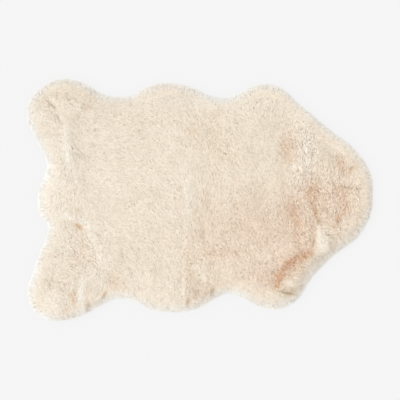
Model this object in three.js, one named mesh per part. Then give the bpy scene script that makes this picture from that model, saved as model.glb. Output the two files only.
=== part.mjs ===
// Faux fur rug: one cut of deep-pile fur fabric in a wavy hide shape, lying flat with the pile up.
// Millimetres, +Z up. The origin is on the underside, at the middle of the rug's length and width.
// +X runs from the wide straight end to the rounded nose.

import * as THREE from 'three';
import { mergeVertices } from 'three/addons/utils/BufferGeometryUtils.js';

// Driving dimensions.
const LENGTH = 900;           // end to nose, from pile tip to pile tip
const PILE_TOP = 27;          // height of the lying pile's top over the underside
const EDGE_STEPS = 176;       // points along the outline
const TOP_RINGS = 14;         // rings between the rounded rim and the spine
const SPINE_HALF_LENGTH = 300; // the innermost ring, a slim oval along the middle of the top
const SPINE_HALF_WIDTH = 14;
const FOLD_FADE = 45;         // over this distance in from the edge the folds reach full height

// The outline that the pile tips reach, anticlockwise from the nose.
// Lobes and hollows alternate, and no two of them are alike.
const OUTLINE = [
  { part: 'nose tip', x: 450, y: 22 },
  { part: 'nose, upper side', x: 438, y: 79 },
  { part: 'nose, upper side', x: 400, y: 131 },
  { part: 'long slope', x: 324, y: 191 },
  { part: 'long slope', x: 254, y: 251 },
  { part: 'third upper lobe', x: 210, y: 289 },
  { part: 'third upper lobe, crest', x: 166, y: 299 },
  { part: 'third upper lobe', x: 122, y: 285 },
  { part: 'second upper hollow', x: 90, y: 267 },
  { part: 'second upper hollow, floor', x: 56, y: 262 },
  { part: 'second upper hollow', x: 18, y: 272 },
  { part: 'second upper lobe', x: -34, y: 294 },
  { part: 'second upper lobe, crest', x: -96, y: 301 },
  { part: 'second upper lobe', x: -143, y: 288 },
  { part: 'first upper hollow', x: -176, y: 268 },
  { part: 'first upper hollow, floor', x: -210, y: 264 },
  { part: 'first upper hollow', x: -252, y: 272 },
  { part: 'first upper lobe', x: -300, y: 300 },
  { part: 'first upper lobe, crest', x: -353, y: 312 },
  { part: 'first upper lobe', x: -405, y: 293 },
  { part: 'upper corner', x: -442, y: 252 },
  { part: 'upper corner', x: -446, y: 205 },
  { part: 'upper end hollow', x: -419, y: 150 },
  { part: 'upper end hollow', x: -400, y: 109 },
  { part: 'upper end hollow, floor', x: -394, y: 84 },
  { part: 'end lobe', x: -406, y: 50 },
  { part: 'end lobe', x: -419, y: 13 },
  { part: 'end lobe', x: -412, y: -42 },
  { part: 'lower end hollow, floor', x: -391, y: -68 },
  { part: 'lower end hollow', x: -398, y: -102 },
  { part: 'lower end hollow', x: -420, y: -156 },
  { part: 'lower corner', x: -433, y: -196 },
  { part: 'lower corner', x: -446, y: -240 },
  { part: 'lower corner', x: -427, y: -290 },
  { part: 'first lower lobe, crest', x: -378, y: -315 },
  { part: 'first lower lobe', x: -310, y: -303 },
  { part: 'first lower hollow', x: -254, y: -273 },
  { part: 'first lower hollow, floor', x: -214, y: -257 },
  { part: 'first lower hollow', x: -166, y: -265 },
  { part: 'second lower lobe', x: -130, y: -284 },
  { part: 'second lower lobe, crest', x: -62, y: -292 },
  { part: 'second lower lobe', x: -10, y: -284 },
  { part: 'second lower hollow', x: 36, y: -259 },
  { part: 'second lower hollow, floor', x: 74, y: -243 },
  { part: 'second lower hollow', x: 118, y: -259 },
  { part: 'third lower lobe', x: 160, y: -279 },
  { part: 'third lower lobe, crest', x: 204, y: -284 },
  { part: 'third lower lobe', x: 252, y: -261 },
  { part: 'nose hollow', x: 291, y: -203 },
  { part: 'nose, lower side', x: 345, y: -147 },
  { part: 'nose, lower side', x: 410, y: -98 },
  { part: 'nose, lower side', x: 442, y: -40 },
];

// The rounded rim: how far inside the outline, and how high. The pile hangs over the cloth's cut edge.
const RIM = [
  { inset: 12, z: 0 },
  { inset: 3, z: 4 },
  { inset: 0, z: 9 },
  { inset: 2, z: 15 },
  { inset: 8, z: 20 },
  { inset: 18, z: 24 },
  { inset: 31, z: 26.4 },
];

// Soft ridges (height above 0) and troughs (below 0) of the lying pile.
// Length and width are taken where the fold has nearly died away; the angle is its length's, from +X.
const FOLDS = [
  { name: 'end ridge', x: -343, y: 130, length: 330, width: 44, angle: 91, height: 4 },
  { name: 'end trough', x: -308, y: 105, length: 250, width: 40, angle: 90, height: -3 },
  { name: 'upper corner trough', x: -378, y: 226, length: 120, width: 40, angle: -52, height: -4 },
  { name: 'curved ridge, upper part', x: -330, y: -58, length: 170, width: 44, angle: -24, height: 3 },
  { name: 'curved ridge, lower part', x: -264, y: -122, length: 150, width: 44, angle: -74, height: 3 },
  { name: 'end dimple', x: -316, y: -98, length: 110, width: 60, angle: 90, height: -3 },
  { name: 'lower corner trough', x: -378, y: -212, length: 110, width: 40, angle: -20, height: -3 },
  { name: 'lower corner swelling', x: -400, y: -262, length: 110, width: 90, angle: 0, height: 3 },
  { name: 'first lower hollow trough', x: -262, y: -238, length: 120, width: 44, angle: -60, height: -3 },
  { name: 'middle ridge', x: -30, y: 15, length: 260, width: 46, angle: 88, height: 3 },
  { name: 'middle trough', x: 8, y: -78, length: 300, width: 44, angle: 90, height: -3 },
  { name: 'lower middle trough', x: 8, y: -230, length: 90, width: 60, angle: 60, height: -3 },
  { name: 'shoulder hollow', x: 222, y: 142, length: 120, width: 60, angle: 60, height: -4 },
  { name: 'shoulder ridge', x: 272, y: 140, length: 210, width: 52, angle: 84, height: 4 },
  { name: 'neck trough', x: 246, y: -28, length: 160, width: 64, angle: -58, height: -4 },
  { name: 'neck furrow', x: 300, y: 10, length: 190, width: 44, angle: -82, height: -5 },
  { name: 'nose hollow, upper', x: 370, y: 92, length: 110, width: 56, angle: -60, height: -4 },
  { name: 'nose hollow, lower', x: 374, y: -26, length: 130, width: 56, angle: 64, height: -5 },
  { name: 'throat crease', x: 246, y: -166, length: 210, width: 50, angle: 47, height: -9 },
  { name: 'throat roll, upper', x: 322, y: -112, length: 110, width: 62, angle: 30, height: 4 },
  { name: 'throat roll, lower', x: 236, y: -224, length: 100, width: 50, angle: 28, height: 4 },
];

const FUR_MATERIAL = new THREE.MeshStandardMaterial({
  name: 'fur',
  color: new THREE.Color(0.92, 0.865, 0.795),
  roughness: 0.95,
  metalness: 0,
});

// The closed outline as evenly spaced points, scaled to the rug's length and centred on the origin.
function outlinePoints() {
  const corners = OUTLINE.map((row) => new THREE.Vector3(row.x, row.y, 0));
  const curve = new THREE.CatmullRomCurve3(corners, true, 'centripetal');
  const points = curve.getSpacedPoints(EDGE_STEPS).slice(0, EDGE_STEPS);
  const box = new THREE.Box3().setFromPoints(points);
  const middle = box.getCenter(new THREE.Vector3());
  const scale = LENGTH / (box.max.x - box.min.x);
  return points.map((point) => point.clone().sub(middle).multiplyScalar(scale));
}

// Each outline point's direction into the rug, square to the outline.
function inwardDirections(outline) {
  return outline.map((point, i) => {
    const before = outline[(i + EDGE_STEPS - 1) % EDGE_STEPS];
    const after = outline[(i + 1) % EDGE_STEPS];
    return new THREE.Vector3(before.y - after.y, after.x - before.x, 0).normalize();
  });
}

// Height that one fold adds at a place: a soft bell across it and along it.
function foldHeight(fold, x, y) {
  const turn = THREE.MathUtils.degToRad(fold.angle);
  const dx = x - fold.x;
  const dy = y - fold.y;
  const along = (dx * Math.cos(turn) + dy * Math.sin(turn)) / (fold.length / 2);
  const across = (dy * Math.cos(turn) - dx * Math.sin(turn)) / (fold.width / 2);
  return fold.height * Math.exp(-2 * (along * along + across * across));
}

// All folds together, fading out towards the edge.
function relief(x, y, inset) {
  const fade = THREE.MathUtils.smoothstep(inset, 0, FOLD_FADE);
  return fade * FOLDS.reduce((sum, fold) => sum + foldHeight(fold, x, y), 0);
}

// Rings of the rounded rim, from the cloth's cut edge over the widest line to the top.
function rimRings(outline, inward) {
  return RIM.map(({ inset, z }) => outline.map((point, i) => {
    const place = point.clone().addScaledVector(inward[i], inset);
    place.z = z > 0 ? z + relief(place.x, place.y, inset) : 0;
    return place;
  }));
}

// Rings of the top: the rim's last ring drawn in, step by step, to the slim oval round the spine.
function topRings(lastRimRing, inset) {
  const oval = lastRimRing.map((_, i) => {
    const turn = 2 * Math.PI * i / EDGE_STEPS;
    return { x: SPINE_HALF_LENGTH * Math.cos(turn), y: SPINE_HALF_WIDTH * Math.sin(turn) };
  });
  const rings = [];
  for (let k = 1; k <= TOP_RINGS; k += 1) {
    rings.push(lastRimRing.map((point, i) => {
      const x = THREE.MathUtils.lerp(point.x, oval[i].x, k / TOP_RINGS);
      const y = THREE.MathUtils.lerp(point.y, oval[i].y, k / TOP_RINGS);
      const travelled = inset + Math.hypot(point.x - x, point.y - y);
      return new THREE.Vector3(x, y, PILE_TOP + relief(x, y, travelled));
    }));
  }
  return rings;
}

// One closed solid from the rings: bands between them, a flat underside, and rungs across the
// innermost oval, from its upper half to its lower.
function closedSolid(rings) {
  const positions = rings.flat().flatMap((point) => [point.x, point.y, point.z]);
  const indices = [];
  for (let ring = 0; ring < rings.length - 1; ring += 1) {
    for (let i = 0; i < EDGE_STEPS; i += 1) {
      const next = (i + 1) % EDGE_STEPS;
      const a = ring * EDGE_STEPS + i;
      const b = ring * EDGE_STEPS + next;
      const c = a + EDGE_STEPS;
      const d = b + EDGE_STEPS;
      indices.push(a, b, d, a, d, c);
    }
  }
  const cutEdge = rings[0].map((point) => new THREE.Vector2(point.x, point.y));
  for (const [a, b, c] of THREE.ShapeUtils.triangulateShape(cutEdge, [])) {
    indices.push(a, c, b);
  }
  const topStart = (rings.length - 1) * EDGE_STEPS;
  for (let i = 0; i < EDGE_STEPS / 2; i += 1) {
    const upper = topStart + i;
    const lower = topStart + (EDGE_STEPS - i) % EDGE_STEPS;
    const lowerNext = topStart + EDGE_STEPS - i - 1;
    if (lowerNext !== upper + 1) {
      indices.push(upper, upper + 1, lowerNext);
    }
    if (lower !== upper) {
      indices.push(upper, lowerNext, lower);
    }
  }
  const geometry = new THREE.BufferGeometry();
  geometry.setAttribute('position', new THREE.Float32BufferAttribute(positions, 3));
  geometry.setIndex(indices);
  return mergeVertices(geometry);
}

// The rug: pile and ground cloth are one cut of fabric, so they are one solid.
function furRug() {
  const outline = outlinePoints();
  const rim = rimRings(outline, inwardDirections(outline));
  const top = topRings(rim.at(-1), RIM.at(-1).inset);
  const geometry = closedSolid([...rim, ...top]);
  geometry.computeVertexNormals();
  const mesh = new THREE.Mesh(geometry, FUR_MATERIAL);
  mesh.name = 'fur_rug';
  return mesh;
}

const rug = new THREE.Group();
rug.add(furRug());

export default rug;
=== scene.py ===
import math
from collections import namedtuple

import bpy
import numpy as np
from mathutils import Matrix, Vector
from mathutils.bvhtree import BVHTree
from mathutils.geometry import delaunay_2d_cdt
from mathutils.kdtree import KDTree


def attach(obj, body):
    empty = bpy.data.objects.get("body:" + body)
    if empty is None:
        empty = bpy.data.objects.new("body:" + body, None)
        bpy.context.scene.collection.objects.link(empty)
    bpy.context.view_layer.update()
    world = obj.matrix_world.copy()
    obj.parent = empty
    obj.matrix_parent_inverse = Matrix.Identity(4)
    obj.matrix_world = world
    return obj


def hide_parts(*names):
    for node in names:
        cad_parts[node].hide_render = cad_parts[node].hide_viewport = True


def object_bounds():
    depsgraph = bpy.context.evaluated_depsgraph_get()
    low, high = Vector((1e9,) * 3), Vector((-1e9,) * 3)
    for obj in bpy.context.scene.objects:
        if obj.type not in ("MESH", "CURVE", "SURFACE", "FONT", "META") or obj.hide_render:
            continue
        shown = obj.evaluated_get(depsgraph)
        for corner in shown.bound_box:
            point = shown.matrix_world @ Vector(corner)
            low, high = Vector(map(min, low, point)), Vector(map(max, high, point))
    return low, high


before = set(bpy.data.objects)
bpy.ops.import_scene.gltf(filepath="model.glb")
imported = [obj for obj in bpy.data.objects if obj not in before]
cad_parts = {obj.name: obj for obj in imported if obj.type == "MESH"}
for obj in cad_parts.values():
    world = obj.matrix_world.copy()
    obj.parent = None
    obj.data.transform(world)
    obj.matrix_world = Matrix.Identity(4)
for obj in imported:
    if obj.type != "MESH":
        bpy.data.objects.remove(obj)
cad_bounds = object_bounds()

# ---- Driving values, in metres unless a name says otherwise ----

SEED = 20
MM = 0.001                  # the tables below are in millimetres
NOISE_CELLS = 256           # noise repeats after this many of its cells
FIELD_STEP = 0.004          # grid on which the distance in from the rug's edge is kept

CLOTH_THICKNESS = 0.002     # knitted ground cloth under the pile
CLOTH_GRID = 0.012          # spacing of its inner points
CLOTH_MARGIN = 0.005        # these stay this far inside its cut edge

MASS_DEPTH = 0.0022         # how far the bulk of the pile lies below the tips
MASS_RUFFLE_DEPTH = 0.8     # this many depths more where fully ruffled
MASS_RIM_DEPTH = 1.3        # and this many down the rim
MASS_UNDERCUT = -0.3        # below this upward normal it has no tuft relief
MASS_FLOOR = 0.9 * CLOTH_THICKNESS  # its underside, just inside the cloth
MASS_LEVELS = 2             # subdivisions of the CAD skin for the bulk

UNDERSIDE_TOP = 0.0005      # no tuft grows below this height
TUFT_SPACING = 0.0024       # least distance between two tufts
TRIES_PER_TUFT = 3          # places tried for each square of that spacing
LOCK_SPACING = 0.0095       # least distance between two locks, each of several tufts
LOCK_INNER = 0.55           # this far from its side to its middle a lock has its full height
LOCK_RISE = 0.0007          # how far a lock's middle stands over its sides where fully ruffled
TUFT_LENGTH = 0.0028        # half size of a tuft's footprint along its lie
TUFT_WIDTH = 0.0018         # and across it
STRANDS_PER_PIECE = 98000   # two triangles each
FIBRE_PIECES = 4
STRAND_WIDTH = 0.0012
WIDTH_RANGE = (0.7, 1.3)    # a strand's own width as a share of that
LENGTH_RANGE = (0.75, 1.1)  # and its own length
LEAN_ALONG = 0.0110         # from root to tip, along the surface
LEAST_LEAN = 0.35           # the share of it that is left where ways of combing meet
BEND_AT = 0.45              # where a strand bends, from root to tip
ARCH_SHARE = 0.55           # how high the bend arches, as a share of the root's depth
ARCH_LEAST = 0.0003         # and at least
FLOOR_CLEARANCE = 0.0009    # no strand comes closer to the floor

LIE_ANGLE = -55             # the way the tips point, in degrees from +X, except as COMBS say
COMB_PULL = 2.0             # how strongly a row of COMBS turns the lie
LIE_DRIFT = (0.12, 0.4)     # over this distance the lie wanders, by this share
LIE_SWIRL = (0.028, 0.30)   # and it swirls over this distance
EDGE_PULL = 1.6             # how strongly the edge combs the pile outwards
PARTING_PULL = 2.2          # and a parting combs it apart
STREAK_STEPS = 3            # steps each way along the lie over which a streak is drawn out
TUFT_STREAK = 0.0036        # width of the streaks of tufts
STRAND_STREAK = 0.0016      # and of strands

EDGE_BAND = 0.045           # width of the band along the edge where the pile combs outwards
CALM_BAND = 0.040           # along the edge the pile is smoother, over this width
CALM_LEAST = 0.3            # down to this share of its unevenness
RIM_BAND = 0.012            # along the edge single strands stand out, over this width
RIM_DRAW_IN = 0.0045        # how far the shortest strands are drawn in there
RIM_REACH = 0.0048          # how far the longest stand out, and the most they pass the edge
RIM_TILTS = (0.35, 0.90)    # 1 minus the skin's upward normal, from the shoulder to an upright rim
RIM_DIP = 0.5               # how steeply the lie dips there
RIM_LOOSE = 0.9             # and how freely it leaves the surface

PAINTED_RIM_LIGHT_BAND = 0.023          # painted light along the edge, where the pile is thin, over this width
PAINTED_RIM_LIGHT_HEIGHTS = (0.003, 0.012)  # from the lower height to the upper one this painted light gets its full strength
PAINTED_RIM_LIGHT_LEAST = 0.4           # the share of it that is left near the floor
LIGHT_PATCH_TONE = 2.7      # how many tones of painted light a patch of shade -1 gets
LIGHT_PATCH_PALENESS = 0.3     # and how far its painted light goes towards the pale colour
RIM_SHADE_TONE = 4.0        # how many tones of painted shade a patch of shade 1 puts on the rim's painted light
ROOT_PEACH = 0.15           # how much peach shows between ruffled locks

# How uneven the pile is. A pair gives it in calm pile, and what full ruffle adds.
LEAST_RUFFLE = 0.15         # pile is never quite calm
TUFT_TURN = (3, 8)          # degrees that a tuft's lie differs from its surroundings
LOCK_TURN = (2, 10)
TUFT_HEIGHT = (0.00005, 0.0004)
LOCK_HEIGHT = (0.0, 0.0003)
STREAK_HEIGHT = 0.0001
TUFT_TONE = (0.0, 0.4)
LOCK_TONE = (0.03, 0.2)
STREAK_TONE = 0.15
CLOUD_TONES = ((0.013, 0.1), (0.034, 0.7))  # size of soft clouds of tone, and their strength
STRAND_PULL = (0.10, 0.45)  # how far a tuft's tips draw together, as a share of its footprint
STRAND_STRAY = (0.7, 1.2)   # how far single tips stray, as a share of STRAY
STRAY = (0.0008, 0.0008, 0.0002)
CROWN_HEIGHT = (0.0003, 0.0010)  # how far a tuft's middle stands over its side
TIP_HEIGHT = 0.00015        # how far tips differ in height
ROOT_DEPTH = (0.0018, 0.0030)  # how far a root lies under its tip
SPECK_TONE = (2.0, 7.0)     # how single strands differ in tone
SPECK_SPREAD = 0.6          # of which this share goes both ways
SPECK_DARK = 0.8            # and this one makes a few much darker
STRAND_STREAK_TONE = (0.9, 3.0)
WARMTH_RANGE = (0.75, 1.25)  # a tuft's own share of the peach

# How a blade is turned and shaded: the pile looks softer than its flat blades are.
BLADE_UPRIGHT = 0.8         # how far a blade's face turns up from the skin's normal
BLADE_TURN = 0.15           # how far blades are turned at random
SHADING_TURN = 0.35         # how far their shading is
BLADE_SHADING = 0.4         # how much of the shading is the blade's own

# The pile in places: a patch's middle and size in millimetres, the angle of its length from +X in
# degrees, how much peach shows (below 0 it is paler) and how much darker it is made, mostly painted
# shade in creases, grooves and on sides turned from the light (below 0 lighter: painted light on
# ridges, rolls and lit sides). Some rows also say how ruffled the tufts are, how far the pile rises
# in millimetres and how strongly it parts from the patch's centre line.
Patch = namedtuple("Patch", "name x y length width angle peach shade ruffle rise part",
                   defaults=(0, 0, 0))
PATCHES = [Patch(*row) for row in (
    # The upper corner and the straight end
    ("corner_crease_outer", -385, 246, 60, 7, -42, 0.06, 0.9, 0.3, -1.2, 0.6),
    ("corner_crease_inner", -366, 209, 62, 6, -60, 0.03, 0.62, 0.3, -1.2, 0.6),
    ("corner_parting_short", -370, 270, 34, 9, 88, 0, 0.4, 0.3, -1, 0.6),
    ("corner_parting_long", -340, 258, 22, 6, 92, 0, 0.25, 0.3, -0.6, 0.3),
    ("corner_warm_spot", -292, 240, 46, 28, 65, 0.1, 0.14, 0.3, -0.3, 0.2),
    ("corner_light_spot", -314, 232, 26, 14, -50, 0, -0.4, 0.1, 0.3),
    ("corner_top_shade", -320, 270, 160, 56, 0, 0, 0.15, 0.2),
    ("end_ridge_top", -345, 172, 80, 18, -74, 0, -0.62, 0, 1.6),
    ("end_ridge_light", -340, 120, 116, 28, 95, 0, -1.4, 0, 1.4),
    ("end_ridge_lower", -319, 55, 90, 22, -78, 0, -0.65, 0, 1),
    ("end_dark_dot", -331, 172, 16, 6, -70, 0, 0.4, 0.3, -0.8, 0.4),
    ("end_groove_top", -327, 112, 44, 7, -66, 0, 0.62, 0.2, -0.8, 0.3),
    ("end_groove_long", -325, 52, 80, 6, -88, 0.05, 0.34, 0.2, -0.6, 0.2),
    ("end_groove_outer", -338, 72, 56, 5, 90, 0, 0.36, 0.2, -0.5, 0.2),
    ("end_groove_branch", -307, 114, 34, 6, -40, 0.05, 0.32, 0.2, -1, 0.6),
    ("end_groove_short", -286, 110, 22, 5, -42, 0, 0.3, 0.2, -0.6, 0.4),
    ("end_brown_band", -302, 45, 140, 20, 90, 0.06, 0.05, 0.2),
    ("end_parting_left", -365, 64, 24, 9, -50, 0, 0.4, 0.2, -0.8, 0.5),
    ("end_line_left", -364, 134, 32, 5, -30, 0, 0.3, 0.2, -0.6, 0.4),
    ("end_mark_left", -353, 105, 16, 6, 85, 0, 0.4, 0.2, -0.6, 0.4),
    ("end_brown_low", -338, 18, 36, 14, -70, 0.1, 0.14, 0.2, -0.4, 0.2),
    ("end_mark_low", -313, -27, 20, 9, -45, 0, 0.35, 0.2, -0.6, 0.4),
    ("end_light", -388, 5, 420, 120, 92, 0, -0.48),
    ("end_pale", -400, 70, 360, 80, 92, -0.16, 0.03),
    ("left_field_pale", -285, 125, 330, 260, 90, -0.07, 0.03),
    ("corner_rim_pale", -430, 235, 200, 60, 78, -0.26, 0.2),
    ("corner_side_shade", -250, 242, 80, 50, 0, -0.14, 0.16),
    ("end_side_shade", -290, 98, 110, 24, 90, 0, 0.12),
    ("corner_inner_shade", -332, 212, 90, 50, 20, 0, 0.12),
    ("end_low_light", -345, -128, 100, 54, 90, 0, -0.28),
    # The end lobe and the lower corner
    ("curved_ridge_outer", -342, -43, 40, 18, -32, 0, -1, 0, 1.4),
    ("curved_ridge_upper", -310, -53, 70, 21, -15, 0, -1.15, 0, 1.4),
    ("curved_ridge_turn", -283, -70, 44, 28, -40, 0, -0.75, 0, 1.2),
    ("curved_ridge_lower", -281, -94, 70, 30, -78, 0, -0.8, 0, 1.2),
    ("end_dimple", -313, -68, 38, 18, -30, 0.5, 0.34, 0.4, -1.2, 0.4),
    ("end_line_first", -248, -49, 46, 6, -36, 0, 0.25, 0.2, -0.6, 0.3),
    ("end_line_second", -257, -89, 28, 7, -42, 0, 0.28, 0.2, -0.6, 0.3),
    ("end_dark_spot", -333, -110, 18, 15, 20, 0, 0.3, 0.3, -0.8, 0.4),
    ("end_dark_short", -298, -114, 32, 10, -35, 0.1, 0.2, 0.3, -0.6, 0.3),
    ("end_dark_parting", -308, -140, 44, 14, 75, 0.05, 0.12, 0.3, -0.6, 0.3),
    ("lower_side_light", -258, -162, 170, 50, 92, 0, -0.7, 0.2),
    ("lower_middle_light", -295, -208, 90, 44, 20, 0, -0.45),
    ("left_low_shade", -112, -176, 70, 50, 0, 0, 0.1, 0.1),
    ("end_ruffled_field", -305, -150, 170, 160, 80, 0.05, -0.12, 0.42),
    ("end_band_upper", -377, -144, 66, 15, -3, 0.04, 0.12, 0.2),
    ("end_band_lower", -375, -208, 66, 26, -10, 0.05, 0.15, 0.2),
    ("lower_corner_crease", -388, -219, 28, 6, -20, 0.05, 0.35, 0.2, -0.8, 0.5),
    ("lower_pit_first", -328, -256, 38, 13, -70, 0.5, 0.1, 0.5, -1, 0.4),
    ("lower_pit_edge", -332, -243, 18, 10, -50, 0, 0.45, 0.3, -1, 0.5),
    ("lower_pit_second", -289, -277, 32, 15, 72, 0.4, 0.85, 0.5, -1.4, 0.7),
    ("lower_pit_third", -248, -247, 36, 15, 60, 0.4, 0.85, 0.5, -1.6, 0.6),
    ("lower_rim_shade", -264, -266, 70, 22, 32, 0, 0.28, 0.2),
    ("lower_ridge_light", -307, -245, 136, 25, 90, 0, -1.3, 0, 1.6),
    ("lower_round_light", -376, -262, 70, 60, 0, 0, -0.66),
    ("lower_fold_edge", -350, -280, 66, 11, 58, 0, 0.24, 0.2, -0.4),
    ("lower_fold_top", -352, -238, 54, 9, -32, 0, 0.26, 0.2, -0.4),
    ("lower_brown_field", -347, -289, 44, 28, 30, 0.1, 0.04, 0.3),
    ("lower_olive_field", -299, -266, 24, 20, 0, 0, 0.15, 0.3),
    ("lower_warm_spot", -221, -212, 60, 40, 90, 0.18, 0.02, 0.2, -0.3, 0.2),
    ("lower_hollow_light", -170, -262, 250, 50, -5, 0, -0.5),
    ("low_hollow_light", 92, -246, 120, 44, 0, 0, -0.55),
    ("lower_corner_light", -404, -296, 120, 56, 18, -0.08, -0.55),
    ("corner_end_light", -436, 185, 120, 40, 70, 0, -0.45),
    ("end_low_rim_light", -430, -205, 140, 50, 82, -0.14, -0.5),
    # The middle
    ("middle_ridge_light", -33, -20, 260, 22, 90, 0, -0.65, 0, 1),
    ("middle_ridge_broad", -28, 30, 160, 34, 90, 0, -0.25, 0, 0.4),
    ("middle_brown_column", -30, -140, 116, 18, 90, 0.1, 0.14, 0.5, -0.4, 0.2),
    ("middle_line", 8, -86, 80, 7, 90, 0.05, 0.38, 0.2, -1.2, 0.6),
    ("middle_line_low", 25, -166, 44, 7, 92, 0.05, 0.38, 0.2, -1, 0.5),
    ("middle_dark_column", 20, 0, 170, 28, 90, 0, 0.15),
    ("right_middle_light", 65, 55, 200, 28, 90, 0, -0.28),
    ("upper_right_light", 112, 238, 90, 34, 40, 0, -0.32),
    ("left_band_low", -205, -140, 150, 30, 90, 0, 0.17),
    ("left_band_upper", -205, 95, 130, 28, 90, 0, 0.15),
    ("low_right_light", 135, -208, 140, 60, 10, 0, -0.28),
    ("right_lower_light", 86, -112, 110, 60, 0, 0, -0.32),
    ("left_of_ridge_light", -74, -20, 170, 26, 90, 0, -0.2),
    ("low_dark_spot", -46, -202, 54, 40, 80, 0.03, 0.28),
    ("left_middle_shade", -125, 15, 100, 50, 0, 0, 0.12),
    ("upper_left_band", -150, 185, 80, 30, 90, 0, 0.14),
    ("right_upper_shade", 145, 118, 130, 100, 0, 0, 0.1),
    ("upper_bump_shade", -45, 264, 120, 38, 0, 0, 0.2),
    ("upper_edge_pale", 0, 258, 380, 60, 0, -0.28, 0.06),
    ("lower_lobe_shade", 205, -262, 100, 40, 0, -0.28, 0.22),
    ("middle_olive", 45, -138, 120, 50, 0, 0.11, 0.03, 0.4),
    ("middle_light_spot", -2, -178, 74, 24, 90, 0, -0.5, 0.2, 0.3),
    ("middle_low_warm", -22, -200, 76, 36, 80, 0.13, 0.14, 0.3),
    ("middle_low_line", -42, -228, 84, 12, 92, 0, -0.85, 0.2, 0.8),
    ("middle_bottom_broad", -8, -240, 46, 22, 75, 0.14, 0.38, 0.5, -0.9, 0.5),
    ("middle_bottom_dark", 31, -242, 40, 16, 80, 0.28, 0.95, 0.4, -1.2, 0.5),
    ("middle_bottom_left", -32, -266, 38, 15, 85, 0.12, 0.75, 0.5, -1, 0.5),
    ("middle_bottom_edge", 10, -257, 22, 10, 60, 0.1, 0.4, 0.3, -1.2, 0.5),
    ("middle_bottom_light", -66, -274, 36, 30, 90, 0, -0.8, 0.5, 0.6),
    ("warm_lower_middle", 100, -105, 380, 260, -10, 0.18, -0.06, 0.35),
    ("warm_middle", 108, -24, 160, 140, 90, 0.11, -0.26),
    ("upper_warm_spot", -22, 180, 40, 30, 0, 0.15, 0),
    ("upper_middle_shade", 8, 185, 180, 150, 90, 0.02, 0.1, 0.1),
    ("upper_middle_warm", 62, 120, 190, 150, 70, 0.06, -0.02, 0.2),
    ("upper_right_shade", 185, 190, 190, 100, 0, 0, 0.12),
    ("upper_middle_spot", 45, 222, 44, 30, 80, 0, 0.2, 0.1),
    ("upper_left_shade", -235, 206, 240, 120, 0, 0, 0.1),
    ("middle_low_shade", 14, -238, 120, 80, 0, 0.05, 0.11, 0.3),
    ("middle_low_band", 44, -200, 80, 26, 85, 0, 0.14),
    # The shoulder
    ("shoulder_hollow", 222, 134, 96, 44, 76, 0.28, 0.03, 0.4, -0.6, 0.2),
    ("shoulder_hollow_red", 236, 106, 40, 24, 80, 0.16, 0, 0.3, -0.5, 0.2),
    ("shoulder_parting", 247, 134, 74, 6, 92, 0.05, 0.55, 0.5, -1.5, 0.7),
    ("shoulder_ridge_light", 273, 118, 220, 52, 93, 0, -0.95, 0.7, 0.8),
    ("shoulder_short_line", 290, 180, 32, 7, 60, 0.4, 0.1, 0.3, -1, 0.5),
    ("shoulder_ridge_top", 282, 172, 90, 46, 110, 0, -0.55, 0.6, 0.4),
    ("long_slope_light", 262, 130, 50, 40, 90, 0, -0.4, 0.6, 0.4),
    ("warm_neck_side", 205, -50, 230, 220, 90, 0.14, -0.16, 0.2),
    ("shoulder_side_shade", 212, 54, 120, 52, 98, 0, 0.2),
    ("neck_low_shade", 320, -56, 40, 34, 0, 0, 0.26),
    # The neck
    ("neck_hollow", 244, -34, 124, 50, -72, 0.33, -0.16, 0.5, -0.4, 0.2),
    ("neck_hollow_tail", 256, -62, 40, 18, -68, 0.12, 0.04, 0.4, -0.4, 0.2),
    ("furrow_top", 289, 26, 66, 48, -80, 0.36, 0.08, 0.7, -0.8, 0.4),
    ("furrow_side_top", 278, 4, 40, 22, 60, 0.1, 0.1, 0.6, -0.5, 0.2),
    ("furrow_middle", 292, -18, 60, 24, -72, 0.26, 0.14, 0.6, -1, 0.4),
    ("furrow_low", 302, -46, 46, 15, -68, 0.34, 0.34, 0.8, -1, 0.5),
    ("furrow_end", 306, -58, 20, 9, -88, 0.05, 0.5, 0.5, -1.2, 0.6),
    ("furrow_line", 298, -78, 52, 10, 82, 0.05, 1, 0.5, -1.2, 0.5),
    ("furrow_line_low", 293, -112, 46, 9, 76, 0.05, 1.1, 0.5, -1.2, 0.5),
    ("furrow_side", 314, -12, 150, 76, -80, 0.16, -0.14, 0.4),
    ("throat_fold_warm", 291, -74, 90, 30, -80, 0.16, -0.14, 0.3),
    ("neck_side_warm", 266, 26, 84, 44, 60, 0.12, -0.2, 0.3),
    ("neck_field_light", 256, -2, 140, 96, 90, 0.15, -0.48),
    ("neck_ruffled_field", 285, 60, 300, 110, 95, 0.01, 0, 0.7),
    # The throat crease and the rolls beside it
    ("throat_pit", 287, -139, 30, 18, -60, 0.1, 0.62, 0.5, -1.2, 0.6),
    ("throat_back", 262, -104, 160, 84, -68, 0.22, -0.34, 0.4),
    ("throat_field_light", 224, -143, 140, 110, -50, 0.15, -0.58, -0.1),
    ("throat_warm", 232, -172, 170, 90, 42, 0.28, -0.06, 0.5),
    ("throat_side_warm", 158, -203, 150, 60, -5, 0.34, -0.6, 0.3),
    ("throat_crease_upper", 267, -146, 56, 22, 20, 0.5, -0.14, 0.7, 0.9),
    ("throat_crease_middle", 235, -162, 60, 29, 42, 0.6, -0.3, 0.7, 0.9),
    ("throat_crease_lower", 206, -199, 72, 27, 66, 0.59, -0.2, 0.8, 0.6),
    ("throat_dot_low", 199, -222, 20, 14, 60, 0.35, 0.2, 0.6, -0.4, 0.2),
    ("throat_line", 225, -240, 60, 8, -13, 0.05, 0.95, 0.4, -1.6, 0.6),
    ("throat_low_shade", 224, -236, 90, 40, -10, 0.06, 0.26, 0.2),
    ("throat_fine_line_left", 160, -173, 64, 6, 4, 0.1, 0.2, 0.3, -0.8, 0.6),
    ("throat_fine_line_low", 195, -194, 26, 6, -24, 0.2, 0.4, 0.3, -0.8, 0.6),
    # painted shadow between the two rolls
    ("roll_olive", 268, -164, 70, 22, 45, -0.06, 0.26, 0.8),
    ("roll_upper_light", 313, -101, 100, 34, -70, -0.14, -0.72, -0.3, 1.4),
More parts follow.
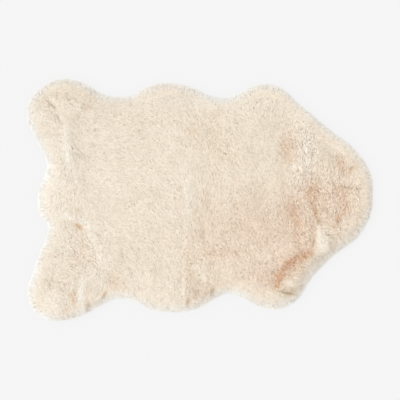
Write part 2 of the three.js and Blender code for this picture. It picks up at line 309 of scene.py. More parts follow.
    ("roll_upper_inner", 336, -108, 70, 40, -58, -0.12, 0.42, 0.4, 0.2),
    ("roll_upper_line", 328, -89, 30, 6, -6, 0, 0.6, 0.4, -1.2, 0.7),
    ("roll_upper_mark", 359, -92, 26, 8, -50, 0.1, 0.45, 0.4, -1, 0.6),
    ("roll_lower_light", 231, -215, 46, 26, -10, -0.12, -0.24, -0.1, 1.6),
    ("roll_lower_side", 262, -200, 34, 24, 50, -0.1, 0.05, 0.5, 0.8),
    ("roll_lower_dots", 262, -223, 24, 14, 30, 0, 0.35, 0.4, -0.8, 0.4),
    ("roll_lower_rim", 262, -226, 90, 40, 52, 0, 0.25, 0.3),
    # painted grey shadow on the upper roll's side turned from the light
    ("roll_grey_upper", 330, -142, 74, 26, 38, 0, 0.5, 0.3),
    ("roll_shade", 276, -186, 170, 60, 45, -0.05, 0.35, 0.2),
    # painted grey shadow on the rolls' rim, turned from the light
    ("roll_rim_pale", 298, -162, 130, 44, 48, -0.46, 0.44),
    ("nose_low_rim_shade", 394, -86, 200, 38, 48, -0.16, 0.34, 0.2),
    ("roll_warm_spot", 265, -185, 26, 16, 30, 0.15, 0, 0.4),
    # The nose
    ("nose_peach_upper", 364, 88, 74, 30, -74, 0.44, -0.14, 0.8, -0.2, 0.1),
    ("nose_red_spot", 389, 79, 30, 12, 60, 0.55, 0.15, 0.6, -0.6, 0.4),
    ("nose_line_upper", 382, 32, 46, 7, -8, 0.05, 0.5, 0.6, -1, 0.6),
    ("nose_line_start", 367, 38, 20, 8, 85, 0.05, 0.35, 0.5, -1, 0.6),
    ("nose_line_across", 410, 24, 28, 6, 80, 0.05, 0.45, 0.5, -1, 0.6),
    ("nose_line_lower", 423, 16, 26, 5, -8, 0.05, 0.22, 0.3, -0.6, 0.4),
    ("nose_olive", 362, 24, 50, 34, 0, 0.14, 0.06, 0.8),
    ("nose_peach_middle", 374, -14, 56, 38, -70, 0.44, -0.5, 0.7),
    ("nose_dark_spot", 371, -35, 22, 12, 50, 0.3, 0.35, 0.6, -1, 0.5),
    ("nose_peach_lower", 356, -49, 38, 22, 50, 0.5, 0.12, 0.7, -0.3, 0.1),
    ("nose_peach_end", 348, -68, 30, 14, 70, 0.38, -0.05, 0.6),
    ("nose_middle_light", 356, -4, 120, 60, 10, 0.23, -0.9),
    ("nose_upper_side", 328, 122, 110, 42, 102, 0, 0.19),
    ("nose_low_side", 417, -28, 44, 36, 80, 0, 0.22),
    ("nose_low_marks", 411, -44, 34, 8, -30, 0.1, 0.25, 0.5, -0.8, 0.5),
    ("nose_tufts", 415, 30, 56, 30, 90, 0, 0.12, 0.9, 0.8),
    ("nose_light_spot", 411, 4, 26, 20, 0, 0, -0.25, 0.5, 0.4),
    ("nose_rim_shade", 440, 6, 120, 28, 90, 0, 0.4, 0.1),
    ("nose_upper_shade", 402, 86, 60, 36, 100, 0, 0.18, 0.3),
    ("nose_ruffled_field", 362, 0, 220, 130, 90, 0.13, -0.02, 0.7),
)]

# Where the pile is combed another way than LIE_ANGLE: a place as above, and the way its tips point.
Comb = namedtuple("Comb", "name x y length width angle lie")
COMBS = [Comb(*row) for row in (
    ("straight_end", -325, 60, 300, 90, 90, -73),
    ("left_middle", -210, 70, 340, 150, 90, -38),
    ("left_low", -210, -120, 200, 130, 0, -34),
    ("lower_corner", -320, -240, 130, 110, 0, -88),
    ("lower_corner_side", -255, -262, 80, 60, 0, -125),
    ("middle_ridge", -20, 20, 460, 100, 90, -67),
    ("middle_edge", 5, -250, 160, 90, 0, -92),
    ("shoulder", 278, 100, 320, 110, 90, -77),
    ("nose", 362, 30, 200, 90, 90, -92),
)]

Pile = namedtuple("Pile", "rise parting peach shade ruffle")


# ---- Small helpers ----

def unit(vectors):
    """Vectors scaled to length 1, rows of an array."""
    return vectors / np.maximum(np.linalg.norm(vectors, axis=-1, keepdims=True), 1e-9)


def smoothstep(low, high, value):
    """0 below low, 1 above high, and a soft step between."""
    t = np.clip((value - low) / (high - low), 0.0, 1.0)
    return t * t * (3.0 - 2.0 * t)


def smooth_noise(x, y, cell, seed):
    """Seeded smooth noise from -1 to 1 that changes over about one cell."""
    lattice = np.random.default_rng(seed).uniform(-1.0, 1.0, (NOISE_CELLS, NOISE_CELLS))
    gx, gy = x / cell + NOISE_CELLS / 2, y / cell + NOISE_CELLS / 2
    ix, iy = np.floor(gx).astype(int), np.floor(gy).astype(int)
    tx, ty = gx - ix, gy - iy
    tx, ty = tx * tx * (3 - 2 * tx), ty * ty * (3 - 2 * ty)
    a, b, c, d = (lattice[(iy + v) % NOISE_CELLS, (ix + u) % NOISE_CELLS]
                  for v in (0, 1) for u in (0, 1))
    return (a * (1 - tx) + b * tx) * (1 - ty) + (c * (1 - tx) + d * tx) * ty


def tree_of(points):
    """A tree that finds the nearest of some points."""
    tree = KDTree(len(points))
    for index, point in enumerate(points):
        tree.insert(point, index)
    tree.balance()
    return tree


def bell(along, across):
    """1 in the middle of a table row's place, 0.14 at its side, and nothing far off."""
    return np.exp(-2.0 * (along ** 2 + across ** 2))


def uneven(pair, ruffle, calm=1.0):
    """What a pair gives in calm pile, and what ruffle adds."""
    return pair[0] * calm + pair[1] * ruffle


# ---- The frame's rug: its skin as arrays, and a grid over it ----

def flat_normals(places, triangles):
    """Each triangle's normal, twice its area long."""
    a, b, c = (places[triangles[:, k]] for k in range(3))
    return np.cross(b - a, c - a)


def vertex_normals(places, triangles):
    """Smooth normals from the triangles round each point."""
    flat = flat_normals(places, triangles)
    normals = np.zeros_like(places)
    for k in range(3):
        np.add.at(normals, triangles[:, k], flat)
    return unit(normals)


def values_of(items, key, width=1, kind=float):
    """One property of all of a mesh's items."""
    values = np.zeros(len(items) * width, kind)
    items.foreach_get(key, values)
    return values.reshape(-1, width) if width > 1 else values


def mesh_arrays(mesh):
    """A mesh's points and triangles."""
    mesh.calc_loop_triangles()
    triangles = values_of(mesh.loop_triangles, "vertices", 3, np.int32)
    return values_of(mesh.vertices, "co", 3), triangles


def skin_arrays(node):
    """The CAD node's merged points, smooth normals and triangles."""
    places, triangles = mesh_arrays(node.data)
    _, first, merged = np.unique(
        np.round(places, 6), axis=0, return_index=True, return_inverse=True)
    places, triangles = places[first], merged.reshape(-1)[triangles]
    return places, vertex_normals(places, triangles), triangles


class RugField:
    """Distance in from the edge and the direction out to it, on a grid over the rug."""

    def __init__(self, places, triangles):
        tree = BVHTree.FromPolygons(places.tolist(), triangles.tolist())
        margin = 4 * FIELD_STEP
        self.low = places.min(0)[:2] - margin
        high = places.max(0)[:2] + margin
        self.shape = np.ceil((high - self.low) / FIELD_STEP).astype(int) + 1
        columns, rows = self.shape
        down = Vector((0.0, 0.0, -1.0))
        inside = np.zeros((rows, columns), bool)
        for j in range(rows):
            for i in range(columns):
                x, y = self.low + FIELD_STEP * np.array((i, j))
                inside[j, i] = tree.ray_cast(Vector((x, y, 1.0)), down)[0] is not None
        around = [np.roll(inside, step, axis) for step in (1, -1) for axis in (0, 1)]
        by, bx = np.nonzero(inside & ~np.all(around, axis=0))
        edge = tree_of([(i, j, 0.0) for i, j in zip(bx, by)])
        self.distance = np.zeros((rows, columns))
        self.outward = np.zeros((rows, columns, 2))
        for j in range(rows):
            for i in range(columns):
                nearest, _, span = edge.find((i, j, 0.0))
                sign = 1.0 if inside[j, i] else -1.0
                self.distance[j, i] = sign * span * FIELD_STEP
                self.outward[j, i] = sign * np.array((nearest.x - i, nearest.y - j))

    def sample(self, grid, x, y):
        """A grid's values at places, bilinear."""
        gx = np.clip((x - self.low[0]) / FIELD_STEP, 0, self.shape[0] - 1.001)
        gy = np.clip((y - self.low[1]) / FIELD_STEP, 0, self.shape[1] - 1.001)
        ix, iy = gx.astype(int), gy.astype(int)
        tx, ty = gx - ix, gy - iy
        if grid.ndim == 3:
            tx, ty = tx[:, None], ty[:, None]
        top = grid[iy, ix] * (1 - tx) + grid[iy, ix + 1] * tx
        low = grid[iy + 1, ix] * (1 - tx) + grid[iy + 1, ix + 1] * tx
        return top * (1 - ty) + low * ty

    def comb(self):
        """Keeps the lie of the pile on the grid, for streaks to follow."""
        columns, rows = self.shape
        i, j = np.meshgrid(np.arange(columns), np.arange(rows))
        x, y = self.low[0] + FIELD_STEP * i.ravel(), self.low[1] + FIELD_STEP * j.ravel()
        self.lie = lie_plan(x, y, self, pile_at(x, y).parting).reshape(rows, columns, 2)

    def edge_distance(self, x, y):
        return self.sample(self.distance, x, y)

    def edge_direction(self, x, y):
        return unit(self.sample(self.outward, x, y))


def axis_at(angle):
    """The plan direction at an angle in degrees from +X."""
    turn = math.radians(angle)
    return np.array((math.cos(turn), math.sin(turn)))


def spots_in(row, x, y):
    """How far each spot lies along and across a table row's place: 0 in its middle, 1 at a side."""
    away = np.stack((x - row.x * MM, y - row.y * MM), axis=1)
    along = away @ axis_at(row.angle) / (row.length * 0.5 * MM)
    across = away @ axis_at(row.angle + 90) / (row.width * 0.5 * MM)
    return along, across


def pile_at(x, y):
    """What all patches together give at places."""
    rise, peach, shade, ruffle = (np.zeros_like(x) for _ in range(4))
    parting = np.zeros((len(x), 2))
    for patch in PATCHES:
        along, across = spots_in(patch, x, y)
        share = bell(along, across)
        rise += MM * patch.rise * share
        peach += patch.peach * share
        shade += patch.shade * share
        ruffle += patch.ruffle * share
        side = across * np.exp(0.5 - 0.5 * across ** 2) * bell(along, 0.0)
        parting += (patch.part * side)[:, None] * axis_at(patch.angle + 90)
    ruffle = LEAST_RUFFLE + (1.0 - LEAST_RUFFLE) * np.tanh(ruffle)
    return Pile(rise, parting, peach, shade, ruffle)


# ---- Tufts and strands ----

def scatter(places, normals, triangles, count, rng):
    """Random points on the skin, evenly by area, with their normals."""
    areas = np.linalg.norm(flat_normals(places, triangles), axis=1) / 2
    steps = np.cumsum(areas)
    spots = (np.arange(count) + rng.uniform(0, 1, count)) / count * steps[-1]
    chosen = np.minimum(np.searchsorted(steps, spots), len(areas) - 1)
    u, v = rng.uniform(0, 1, count), rng.uniform(0, 1, count)
    flip = u + v > 1
    u[flip], v[flip] = 1 - u[flip], 1 - v[flip]
    weights = np.stack((1 - u - v, u, v), axis=1)[:, :, None]
    corners = triangles[chosen]
    return (places[corners] * weights).sum(1), unit((normals[corners] * weights).sum(1))


def spaced_out(points, spacing):
    """Which points to keep so that no two lie closer than the spacing."""
    tree = tree_of(points)
    free = np.ones(len(points), bool)
    kept = []
    for index, point in enumerate(points):
        if free[index]:
            kept.append(index)
            for _, near, _ in tree.find_range(point, spacing):
                free[near] = False
    return np.array(kept)


def steepness(normals):
    """0 on the top and the shoulder of the rim, 1 where the rim is upright."""
    return smoothstep(*RIM_TILTS, 1.0 - normals[:, 2])


def lie_plan(x, y, field, parting):
    """The way the pile is combed, seen from above: as COMBS say, and outwards along the edge."""
    combed = np.tile(axis_at(LIE_ANGLE), (len(x), 1))
    for comb in COMBS:
        share = bell(*spots_in(comb, x, y))[:, None]
        combed += COMB_PULL * share * (axis_at(comb.lie) - combed)
    combed = unit(combed)
    drift = np.stack([smooth_noise(x, y, LIE_DRIFT[0], SEED + k) for k in (1, 2)], axis=1)
    swirl = np.stack([smooth_noise(x, y, LIE_SWIRL[0], SEED + k) for k in (3, 4)], axis=1)
    edge = 1.0 - smoothstep(0.0, EDGE_BAND, field.edge_distance(x, y))[:, None]
    plan = (combed + LIE_DRIFT[1] * drift) * (1 - edge) + LIE_SWIRL[1] * swirl
    return plan + EDGE_PULL * edge * field.edge_direction(x, y) + PARTING_PULL * parting


def streaks(x, y, cell, field, seed):
    """Seeded noise drawn out along the lie of the pile: about a cell wide and several long."""
    total = smooth_noise(x, y, cell, seed)
    for step in (-cell, cell):
        px, py = x.copy(), y.copy()
        for _ in range(STREAK_STEPS):
            ahead = unit(field.sample(field.lie, px, py))
            px += step * ahead[:, 0]
            py += step * ahead[:, 1]
            total += smooth_noise(px, py, cell, seed)
    return total / math.sqrt(2 * STREAK_STEPS + 1)


def lie_directions(places, normals, field, pile):
    """The lie along the surface, steeper down the rim."""
    plan = lie_plan(places[:, 0], places[:, 1], field, pile.parting)
    steep = steepness(normals)
    whole = np.column_stack((plan, -RIM_DIP * steep))
    laid = (1.0 - RIM_LOOSE * steep)[:, None]
    return whole - laid * normals * (whole * normals).sum(1, keepdims=True)


def nearest_locks(points, rng):
    """Each point's lock, and how near its middle the point is: 0 at the lock's side, 1 inside."""
    locks = points[spaced_out(points[rng.permutation(len(points))], LOCK_SPACING)]
    tree = tree_of(locks)
    found = [tree.find_n(point, 2) for point in points]
    own = np.array([first[1] for first, _ in found])
    spans = np.array([(first[2], second[2]) for first, second in found])
    inside = (spans[:, 1] - spans[:, 0]) / spans.sum(1)
    return own, smoothstep(0.0, LOCK_INNER, inside), len(locks)


def make_tufts(skin, field, rng):
    """Tufts on the skin: middle, normal, lie, height, ruffle and tone of each."""
    places, normals, triangles = skin
    shown = triangles[places[triangles].mean(1)[:, 2] > UNDERSIDE_TOP]
    area = np.linalg.norm(flat_normals(places, shown), axis=1).sum() / 2
    tries = int(TRIES_PER_TUFT * area / TUFT_SPACING ** 2)
    middle, normal = scatter(places, normals, shown, tries, rng)
    kept = spaced_out(middle, TUFT_SPACING)
    middle, normal = middle[kept], normal[kept]
    x, y = middle[:, 0], middle[:, 1]
    pile = pile_at(x, y)
    own, inner, lock_count = nearest_locks(middle, rng)
    calm = smoothstep(0.0, CALM_BAND, field.edge_distance(x, y))
    calm = CALM_LEAST + (1.0 - CALM_LEAST) * calm
    ruffle = pile.ruffle * calm
    lie = lie_directions(middle, normal, field, pile)
    strength = np.linalg.norm(lie, axis=1)
    turn = rng.normal(0, 1, len(x)) * np.radians(uneven(TUFT_TURN, ruffle))
    turn += rng.normal(0, 1, lock_count)[own] * np.radians(uneven(LOCK_TURN, ruffle))
    ahead = unit(lie)
    lie = np.cos(turn)[:, None] * ahead + np.sin(turn)[:, None] * np.cross(normal, ahead)
    lie *= (LEAST_LEAN + (1.0 - LEAST_LEAN) * np.tanh(strength))[:, None]
    height = pile.rise + LOCK_RISE * ruffle * (inner - 0.5)
    height += rng.normal(0, 1, lock_count)[own] * uneven(LOCK_HEIGHT, ruffle)
    height += rng.normal(0, 1, len(x)) * uneven(TUFT_HEIGHT, ruffle)
    streak = streaks(x, y, TUFT_STREAK, field, SEED + 5)
    height += STREAK_HEIGHT * calm * streak
    tone = STREAK_TONE * calm * streak
    for k, (cell, tones) in enumerate(CLOUD_TONES):
        tone += tones * smooth_noise(x, y, cell, SEED + 6 + k)
    tone += rng.normal(0, 1, len(x)) * uneven(TUFT_TONE, ruffle)
    tone += rng.normal(0, 1, lock_count)[own] * uneven(LOCK_TONE, ruffle)
    return {"middle": middle, "normal": normal, "lie": lie, "height": height,
            "ruffle": ruffle, "tone": tone, "root_shown": ruffle * (1.0 - inner),
            "calm": calm, "warmth": rng.uniform(*WARMTH_RANGE, len(x))}


def make_strands(tufts, field, count, rng):
    """Root, bend and tip of each strand, and what its colour needs."""
    tuft = np.arange(count) * len(tufts["middle"]) // count
    middle, normal, lie = (tufts[key][tuft] for key in ("middle", "normal", "lie"))
    ruffle, calm = tufts["ruffle"][tuft], tufts["calm"][tuft]
    angle = rng.uniform(0, 2 * math.pi, count)
    radius = np.sqrt(rng.uniform(0, 1, count))
    ahead = unit(lie)
    spread = (np.cos(angle) * radius * TUFT_LENGTH)[:, None] * ahead
    spread += (np.sin(angle) * radius * TUFT_WIDTH)[:, None] * np.cross(normal, ahead)
    pull = uneven(STRAND_PULL, ruffle)[:, None]
    length = rng.uniform(*LENGTH_RANGE, count)
    stray = rng.normal(0, 1, (count, 3)) * STRAY
    stray *= uneven(STRAND_STRAY, ruffle)[:, None]
    crown = uneven(CROWN_HEIGHT, ruffle) * (1.0 - radius ** 2)
    top = tufts["height"][tuft] + crown + rng.normal(0, TIP_HEIGHT, count)
    tip = middle + spread * (1 - pull) + normal * top[:, None] + stray
    depth = uneven(ROOT_DEPTH, ruffle, calm) * length
    root = tip - normal * depth[:, None] - lie * (LEAN_ALONG * length)[:, None]
    root += spread * pull
    edge = field.edge_distance(tip[:, 0], tip[:, 1])
    rim = 1.0 - smoothstep(0.0, RIM_BAND, edge)
    reach = rim * rng.uniform(-RIM_DRAW_IN, RIM_REACH, count) * rng.uniform(0, 1, count)
    past = np.maximum(reach - edge, 0.0)
    reach -= past - RIM_REACH * np.tanh(past / RIM_REACH)
    tip[:, :2] += reach[:, None] * field.edge_direction(tip[:, 0], tip[:, 1])
    arch = (ARCH_SHARE * depth + ARCH_LEAST * length)[:, None]
    bend = root + (tip - root) * BEND_AT + normal * arch
    for points in (root, bend, tip):
        points[:, 2] = np.maximum(points[:, 2], FLOOR_CLEARANCE)
    speck = SPECK_SPREAD * rng.normal(0, 1, count)
    speck += SPECK_DARK * (1.0 - rng.exponential(1.0, count))
    streak = streaks(tip[:, 0], tip[:, 1], STRAND_STREAK, field, SEED + 8)
    tone = tufts["tone"][tuft] + speck * uneven(SPECK_TONE, ruffle, calm)
    tone += streak * uneven(STRAND_STREAK_TONE, ruffle, calm)
    warmth, deep = tufts["warmth"][tuft], ROOT_PEACH * tufts["root_shown"][tuft]
    values = [tint_at(place, field, tone, warmth, deep) for place in (bend, tip)]
    both = {key: np.stack([value[key] for value in values], axis=1) for key in values[0]}
    return {"root": root, "bend": bend, "tip": tip, "normal": normal, **both}


def tint_at(places, field, tone, warmth, deep):
    """What the colour of the pile at some places needs, its painted shade and painted light
    included.
    """
    x, y = places[:, 0], places[:, 1]
    pile = pile_at(x, y)
    light, shade = np.maximum(-pile.shade, 0.0), np.maximum(pile.shade, 0.0)
    pale = np.maximum(-pile.peach, 0.0)
    # painted light along the rim, weaker near the floor
    pale_and_painted_light = 1.0 - smoothstep(0.0, PAINTED_RIM_LIGHT_BAND, field.edge_distance(x, y))
    pale_and_painted_light *= PAINTED_RIM_LIGHT_LEAST + (1.0 - PAINTED_RIM_LIGHT_LEAST) * smoothstep(*PAINTED_RIM_LIGHT_HEIGHTS, places[:, 2])
    # light patches get painted light in their tone; patches of shade put painted shade on the rim
    return {"tone": tone + LIGHT_PATCH_TONE * light - RIM_SHADE_TONE * shade * pale_and_painted_light,
            "peach": pile.peach * warmth + deep, "shade": shade,
            "pale_and_painted_light": pale_and_painted_light + LIGHT_PATCH_PALENESS * light + pale}


def strand_cells(strands):
    """Each strand's own cell of a square map, neighbours near each other."""
    count = len(strands["tip"])
    side = math.ceil(math.sqrt(count))
    by_y = np.argsort(strands["tip"][:, 1], kind="stable")
    cell = np.zeros((count, 2), int)
    for row in range(side):
        members = by_y[row * side:(row + 1) * side]
        members = members[np.argsort(strands["tip"][members, 0], kind="stable")]
        cell[members] = np.stack((np.arange(len(members)), np.full(len(members), row)), axis=1)
    return cell, side


def strand_mesh(name, strands, rng):
    """Thin blades that taper both ways from their bend, two triangles each, as one mesh."""
    root, bend, tip = strands["root"], strands["bend"], strands["tip"]
    count = len(root)
    axis = unit(tip - root)
    turn = rng.normal(0, 1, (count, 3))
    upward = strands["normal"] + (0.0, 0.0, BLADE_UPRIGHT)
    facing = unit(upward + SHADING_TURN * turn)
    side = unit(np.cross(axis, upward + BLADE_TURN * turn))
    half = (0.5 * STRAND_WIDTH * rng.uniform(*WIDTH_RANGE, count))[:, None]
    points = np.stack((root, bend + side * half, bend - side * half, tip), axis=1)
    face_down = (np.cross(side, tip - root) * facing).sum(1) < 0
    points[face_down] = points[face_down][:, [0, 2, 1, 3]]
    base = np.arange(count, dtype=np.int32)[:, None]
    blade_corners = np.array([0, 1, 2, 2, 1, 3], np.int32)
    corners = (base * 4 + blade_corners).ravel()
    starts = (base * 6 + np.array([0, 3], np.int32)).ravel()
    mesh = bpy.data.meshes.new(name)
    mesh.vertices.add(count * 4)
    mesh.vertices.foreach_set("co", points.astype(np.float32).ravel())
    mesh.loops.add(count * 6)
    mesh.loops.foreach_set("vertex_index", corners)
    mesh.polygons.add(count * 2)
    mesh.polygons.foreach_set("loop_start", starts)
    mesh.update(calc_edges=True)
    cell, cells = strand_cells(strands)
    local = np.array([(0.5, 0.08), (0.9, 0.5), (0.1, 0.5), (0.5, 0.92)])[blade_corners]
    add_map(mesh, (cell[:, None, :] + local) / cells)
    add_values(mesh, "along", np.tile((0.0, 0.5, 0.5, 1.0), count))
    for key in ("tone", "peach", "shade", "pale_and_painted_light"):
        add_values(mesh, key, strands[key][:, [0, 0, 0, 1]].ravel())
    blade = unit(np.cross(side, axis))
    blade *= np.sign((blade * facing).sum(1, keepdims=True))
    soft = unit((1.0 - BLADE_SHADING) * facing + BLADE_SHADING * blade)
    mesh.shade_smooth()
    mesh.normals_split_custom_set_from_vertices(np.repeat(soft, 4, axis=0))
    return mesh


def add_map(mesh, uv):
    """A UV map named OFBake."""
    layer = mesh.uv_layers.new(name="OFBake")
    layer.data.foreach_set("uv", uv.astype(np.float32).ravel())


def add_values(mesh, name, values):
    """One number for each vertex."""
    attribute = mesh.attributes.new(name, "FLOAT", "POINT")
    attribute.data.foreach_set("value", values.astype(np.float32))


# ---- Materials ----

def linear(red, green, blue):
    """A colour from its 0 to 255 screen values, as shaders want it."""
    def one(value):
        value /= 255.0
        return value / 12.92 if value <= 0.04045 else ((value + 0.055) / 1.055) ** 2.4
    return (one(red), one(green), one(blue), 1.0)


TIP_COLOUR = linear(252, 244, 229)
ROOT_COLOUR = linear(246, 229, 208)
# darker cream of the bulk: painted shade for the gaps between the strands
BULK_COLOUR = linear(238, 216, 190)
PEACH_COLOUR = linear(217, 158, 103)
# brown-grey of the painted shade in creases, grooves and on sides turned from the light
SHADE_COLOUR = linear(190, 166, 136)
# near-white of the painted light along the rim and on light patches, and of paler places
PALE_AND_PAINTED_LIGHT_COLOUR = linear(255, 252, 246)
CLOTH_COLOUR = linear(236, 230, 218)
CLOTH_SHADOW_COLOUR = linear(214, 206, 192)
TONE_STEP = (0.025, 0.030, 0.035)
TONE_MIDDLE = (0.953, 0.948, 0.938)
WAVE_LENGTH = 0.314         # of Blender's wave texture at scale 1
FLOOR_COLOUR = linear(231, 231, 231)
FLOOR_SEEN_COLOUR = linear(246, 246, 246)
FLOOR_EVENNESS = 0.88       # how much of what the camera sees of the floor has no shadow


class Nodes:
    """Short calls for making a material's nodes."""

    def __init__(self, name):
        self.material = bpy.data.materials.new(name)
        self.material.use_nodes = True
        self.tree = self.material.node_tree
        self.shader = self.tree.nodes["Principled BSDF"]

    def add(self, kind, **settings):
        node = self.tree.nodes.new(kind)
        for key, value in settings.items():
            setattr(node, key, value)
        return node

    def give(self, socket, given):
        """Links a socket, or sets its value."""
        if isinstance(given, bpy.types.NodeSocket):
            self.tree.links.new(given, socket)
        else:
            socket.default_value = given

    def feed(self, given, node=None):
        """The same for several sockets of a node, or of the shader if none is named."""
        for key, value in given.items():
            self.give((node or self.shader).inputs[key], value)

    def bump(self, height, strength, distance):
        node = self.add("ShaderNodeBump")
        self.feed({"Height": height, "Strength": strength, "Distance": distance}, node)
        return node.outputs["Normal"]

    def value(self, name):
        return self.add("ShaderNodeAttribute", attribute_name=name).outputs["Fac"]

    def maths(self, operation, *given, kind="ShaderNodeMath"):
        node = self.add(kind, operation=operation)
        for socket, value in zip(node.inputs, given):
            self.give(socket, value)
        return node.outputs[0]

    def mix(self, factor, first, second):
        node = self.add("ShaderNodeMix", data_type="RGBA")
        self.feed({0: factor, 6: first, 7: second}, node)
        return node.outputs[2]

    def toned(self, colour, tone):
        """Lighter and cooler above tone 0, darker and warmer below it."""
        kind = "ShaderNodeVectorMath"
        level = self.maths("MULTIPLY_ADD", tone, TONE_STEP, TONE_MIDDLE, kind=kind)
        return self.maths("MULTIPLY", colour, level, kind=kind)

    def place(self):
        return self.add("ShaderNodeTexCoord").outputs["Object"]

    def noise(self, scale, detail):
        node = self.add("ShaderNodeTexNoise")
        self.feed({"Scale": scale, "Detail": detail, "Vector": self.place()}, node)
        return node.outputs["Fac"]

    def ribs(self, direction, pitch, distortion):
        node = self.add("ShaderNodeTexWave", bands_direction=direction)
        self.feed({"Scale": WAVE_LENGTH / pitch, "Distortion": distortion,
                   "Detail Scale": 2.0, "Vector": self.place()}, node)
        return node.outputs["Fac"]


def pile_colour(nodes, colour):
    """The patches' tints, their painted shade and painted light, the painted light along the rim
    and each strand's own tone over a colour.
    """
    from_tip = nodes.maths("MULTIPLY_ADD", nodes.value("along"), -0.3, 1.1)
    peach = nodes.maths("MULTIPLY", nodes.value("peach"), from_tip)
    colour = nodes.mix(peach, colour, PEACH_COLOUR)
    # painted shade of the patches
    colour = nodes.mix(nodes.value("shade"), colour, SHADE_COLOUR)
    # painted light of the rim and the light patches, and paler places
    colour = nodes.mix(nodes.maths("MULTIPLY", nodes.value("pale_and_painted_light"), 0.85), colour, PALE_AND_PAINTED_LIGHT_COLOUR)
    return nodes.toned(colour, nodes.value("tone"))


def fibre_material():
    """Cream pile: lighter tips, warmer roots, small differences from strand to strand."""
    nodes = Nodes("cream_fibre")
    along = nodes.value("along")
    nodes.feed({"Base Color": pile_colour(nodes, nodes.mix(along, ROOT_COLOUR, TIP_COLOUR)),
                "Roughness": nodes.maths("MULTIPLY_ADD", along, -0.12, 0.92),
                "Sheen Weight": 0.25, "Sheen Roughness": 0.5, "Specular IOR Level": 0.2})
    return nodes.material


def mass_material():
    """The bulk under the strands, seen between them: the same fur, a little darker, painted shade
    for the gaps between the strands.
    """
    nodes = Nodes("pile_bulk")
    colour = nodes.mix(nodes.noise(160.0, 3.0), BULK_COLOUR, ROOT_COLOUR)
    nodes.feed({"Base Color": pile_colour(nodes, colour), "Roughness": 0.95,
                "Normal": nodes.bump(nodes.noise(700.0, 4.0), strength=0.6, distance=0.001),
                "Specular IOR Level": 0.1})
    return nodes.material


def cloth_material():
    """Off-white knitted backing: fine wales one way, coarser courses the other, with painted shade
    between the ribs, mottled at random.
    """
    nodes = Nodes("knitted_backing")
    wales, courses = nodes.ribs("Y", 0.0024, 0.4), nodes.ribs("X", 0.0034, 1.2)
    knit = nodes.maths("MULTIPLY", wales, nodes.maths("MULTIPLY_ADD", courses, 0.5, 0.5))
    # painted shade for the grooves, mottled at random
    mottled_groove_shade = nodes.mix(nodes.noise(40.0, 4.0), CLOTH_SHADOW_COLOUR, CLOTH_COLOUR)
    # painted shade in the grooves between the ribs
    nodes.feed({"Base Color": nodes.mix(knit, mottled_groove_shade, CLOTH_COLOUR),
                "Roughness": nodes.maths("MULTIPLY_ADD", knit, -0.1, 0.95),
                "Normal": nodes.bump(knit, strength=0.7, distance=0.0008),
                "Specular IOR Level": 0.2})
    return nodes.material


def floor_material():
    """Plain pale floor. Part of what the camera sees of it is even, so the shadow stays faint."""
    nodes = Nodes("pale_floor")
    nodes.feed({"Base Color": FLOOR_COLOUR, "Roughness": 1.0, "Specular IOR Level": 0.0})
    even = nodes.add("ShaderNodeEmission")
    nodes.feed({"Color": FLOOR_SEEN_COLOUR}, even)
    seen = nodes.add("ShaderNodeLightPath").outputs["Is Camera Ray"]
    blend = nodes.add("ShaderNodeMixShader")
    nodes.feed({0: nodes.maths("MULTIPLY", seen, FLOOR_EVENNESS),
                1: nodes.shader.outputs[0], 2: even.outputs[0]}, blend)
    nodes.feed({"Surface": blend.outputs[0]}, nodes.tree.nodes["Material Output"])
    return nodes.material


# ---- Pieces ----

def linked(name, data):
    """A new object in the scene."""
    thing = bpy.data.objects.new(name, data)
    bpy.context.scene.collection.objects.link(thing)
    return thing


def link_piece(name, mesh, material):
    """A piece of the rug that rides on its body, with its material."""
    piece = linked(name, mesh)
    mesh.materials.append(material)
    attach(piece, "root")
    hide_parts("fur_rug")
    return piece


def subdivided(places, triangles, levels):
    """The smooth surface through a coarse mesh."""
    coarse = bpy.data.meshes.new("coarse")
    coarse.from_pydata(places.tolist(), [], triangles.tolist())
    holder = linked("holder", coarse)
    modifier = holder.modifiers.new("smooth", "SUBSURF")
    modifier.levels = modifier.render_levels = levels
    evaluated = holder.evaluated_get(bpy.context.evaluated_depsgraph_get())
    mesh = bpy.data.meshes.new_from_object(evaluated)
    bpy.data.objects.remove(holder)
    bpy.data.meshes.remove(coarse)
    return mesh


def plan_map(mesh):
    """A map in plan, the top in one half and the underside in the other."""
    places, _ = mesh_arrays(mesh)
    low, high = places.min(0)[:2], places.max(0)[:2]
    span = 1.02 * (high - low).max()  # a little room round the rug
    corner = values_of(mesh.loops, "vertex_index", kind=np.int32)
    sizes = values_of(mesh.polygons, "loop_total", kind=np.int32)
    below = np.repeat(values_of(mesh.polygons, "normal", 3)[:, 2] < 0, sizes)
    uv = (places[corner, :2] - low) / span * 0.5
    uv[:, 1] += 0.5 * below
    add_map(mesh, uv)


def pile_mass(skin, tufts, field):
    """The bulk of the pile: the CAD skin made smooth, drawn in below the tips, with tuft relief."""
    mesh = subdivided(skin[0], skin[2], MASS_LEVELS)
    mesh.name = "pile_mass"
    places, triangles = mesh_arrays(mesh)
    normals = vertex_normals(places, triangles)
    tree = tree_of(tufts["middle"])
    nearest = np.array([tree.find(place)[1] for place in places])
    ruffle = tufts["ruffle"][nearest]
    depth = tufts["calm"][nearest] + MASS_RUFFLE_DEPTH * ruffle
    depth += MASS_RIM_DEPTH * steepness(normals)
    lift = tufts["height"][nearest] - MASS_DEPTH * depth
    places += normals * np.where(normals[:, 2] > MASS_UNDERCUT, lift, -MASS_DEPTH)[:, None]
    places[:, 2] = np.maximum(places[:, 2], MASS_FLOOR)
    mesh.vertices.foreach_set("co", places.astype(np.float32).ravel())
    for key, values in tint_at(places, field, tufts["tone"][nearest], 1.0, 0.0).items():
        add_values(mesh, key, values)
    mesh.shade_smooth()
    plan_map(mesh)
    return link_piece("pile_mass", mesh, mass_material())


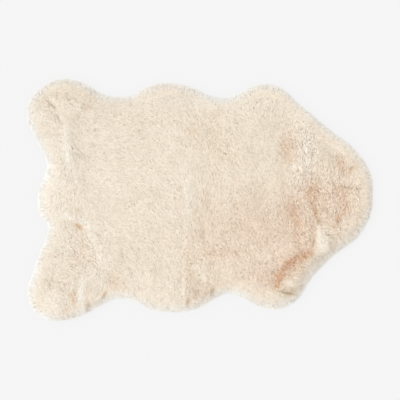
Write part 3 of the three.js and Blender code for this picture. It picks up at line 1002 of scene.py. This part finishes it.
def cut_edge(places, triangles):
    """The underside's outline, point after point, anticlockwise seen from above."""
    under = triangles[places[triangles][:, :, 2].max(1) < 1e-5]
    edges = {(a, b) for t in under.tolist() for a, b in zip(t, t[1:] + t[:1])}
    following = {b: a for a, b in edges if (b, a) not in edges}
    start = point = next(iter(following))
    loop = []
    while not loop or point != start:
        loop.append(point)
        point = following[point]
    return places[loop][:, :2]


def ground_cloth(skin, field):
    """The knitted cloth that the pile grows from, flat on the floor: a thin closed sheet."""
    edge = cut_edge(skin[0], skin[2])
    low, high = edge.min(0), edge.max(0)
    columns = np.arange(low[0], high[0], CLOTH_GRID)
    rows = np.arange(low[1], high[1], CLOTH_GRID)
    inner = np.array([(x, y) for y in rows for x in columns])
    cut_inset = field.edge_distance(edge[:, 0], edge[:, 1]).mean()
    inner = inner[field.edge_distance(inner[:, 0], inner[:, 1]) > cut_inset + CLOTH_MARGIN]
    count = len(edge)
    border = [(k, (k + 1) % count) for k in range(count)]
    plan = [Vector(point) for point in np.concatenate((edge, inner)).tolist()]
    points, _, faces, *_ = delaunay_2d_cdt(plan, border, [], 1, 1e-6)
    total = len(points)
    places = [(p.x, p.y, 0.0) for p in points] + [(p.x, p.y, CLOTH_THICKNESS) for p in points]
    under = [tuple(reversed(face)) for face in faces]
    top = [tuple(total + k for k in face) for face in faces]
    side = [(a, b, total + b, total + a) for a, b in border]
    mesh = bpy.data.meshes.new("ground_cloth")
    mesh.from_pydata(places, [], under + top + side)
    plan_map(mesh)
    piece = link_piece("ground_cloth", mesh, cloth_material())
    area = sum(mesh.polygons[k].area for k in range(len(faces)))
    return piece, (float(high[1] - low[1]), float(high[0] - low[0])), float(area)


def build_rug():
    """Bulk, strands and cloth, the strands dealt out over their pieces at random."""
    rng = np.random.default_rng(SEED)
    skin = skin_arrays(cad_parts["fur_rug"])
    field = RugField(skin[0], skin[2])
    field.comb()
    tufts = make_tufts(skin, field, rng)
    pieces = [pile_mass(skin, tufts, field)]
    strands = make_strands(tufts, field, STRANDS_PER_PIECE * FIBRE_PIECES, rng)
    order = rng.permutation(STRANDS_PER_PIECE * FIBRE_PIECES)
    material = fibre_material()
    for k in range(FIBRE_PIECES):
        members = order[k::FIBRE_PIECES]
        own = {key: values[members] for key, values in strands.items()}
        name = f"pile_fibres_{k + 1}"
        pieces.append(link_piece(name, strand_mesh(name, own, rng), material))
    cloth, flat, area = ground_cloth(skin, field)


# ---- Floor, lights and camera ----

RUG_SHARE = 0.86375         # the rug's length over the picture's width


def floor():
    """A pale floor that keeps the rug's faint shadow."""
    half = 6.0
    mesh = bpy.data.meshes.new("floor")
    mesh.from_pydata([(-half, -half, 0), (half, -half, 0), (half, half, 0), (-half, half, 0)],
                     [], [(0, 1, 2, 3)])
    mesh.materials.append(floor_material())
    piece = linked("floor", mesh)


def lights():
    """Soft studio light: mostly from all round, the rest from the left."""
    world = bpy.data.worlds.new("studio")
    world.use_nodes = True
    background = world.node_tree.nodes["Background"]
    background.inputs["Color"].default_value = (1.0, 1.0, 1.0, 1.0)
    background.inputs["Strength"].default_value = 0.80
    bpy.context.scene.world = world
    key = bpy.data.lights.new("key", "SUN")
    key.energy = 1.16
    key.angle = math.radians(50)
    lamp = linked("key", key)
    lamp.rotation_euler = Vector((0.62, -0.05, -1.0)).to_track_quat("-Z", "Y").to_euler()


def camera():
    """Straight above the rug, as far off as its lens needs."""
    data = bpy.data.cameras.new("camera")
    data.lens = 100.0
    data.sensor_width = 36.0
    view = linked("camera", data)
    low, high = cad_bounds
    frame_width = (high.x - low.x) / RUG_SHARE
    view.location = (0.0, 0.0, frame_width * data.lens / data.sensor_width)
    bpy.context.scene.camera = view


build_rug()
floor()
lights()
camera()
bpy.context.scene.view_settings.view_transform = "Standard"
